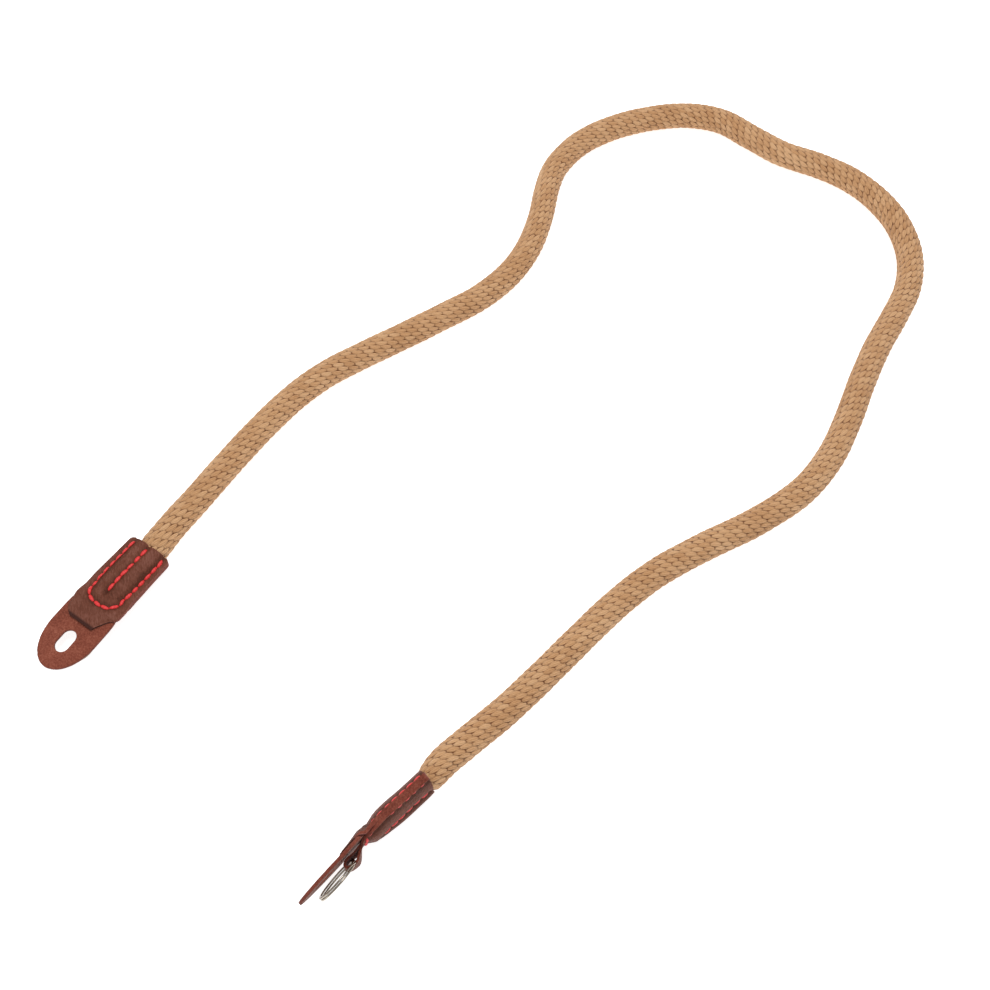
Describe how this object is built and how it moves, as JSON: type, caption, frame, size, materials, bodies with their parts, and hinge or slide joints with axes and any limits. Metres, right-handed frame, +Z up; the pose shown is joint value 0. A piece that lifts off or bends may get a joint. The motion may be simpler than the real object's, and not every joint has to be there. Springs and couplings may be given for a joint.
{
  "type": "camera strap",
  "caption": "Braided cotton rope strap with a stitched leather tab at each end, each with a slotted leather guard and a split ring for a camera's lug.",
  "frame": {"origin": "on the surface that the strap lies on, under the middle of the box round the two leather tabs and their rings, without the rope", "axes": "+Z up from the surface; the tabs point to -Y and the rope's bend lies at +Y; the left tab is at -X and the right one at +X"},
  "size_m": [0.2113, 0.421, 0.023],
  "materials": {
    "cotton": "braided cotton",
    "leather": "smooth, satin",
    "suede": "suede",
    "nickel": "polished nickel plate"
  },
  "bodies": {
    "strap": {"left_back_cover": "leather", "left_front_cover": "leather", "left_guard": "suede", "right_back_cover": "leather", "right_front_cover": "leather", "right_guard": "suede", "rope": "cotton"},
    "left_ring": {"left_split_ring": "nickel"},
    "right_ring": {"right_split_ring": "nickel"}
  },
  "joints": [
    {"name": "left_ring_swing", "type": "hinge", "parent": "strap", "child": "left_ring", "pos_m": [-0.07002, -0.00605, 0.00349], "axis": [0.9977, 0.068, 0], "range_deg": [-9, 150]},
    {"name": "right_ring_swing", "type": "hinge", "parent": "strap", "child": "right_ring", "pos_m": [0.07583, -0.01018, 0.01062], "axis": [0.1679, 0.0102, 0.9857], "range_deg": [-6, 150]}
  ]
}
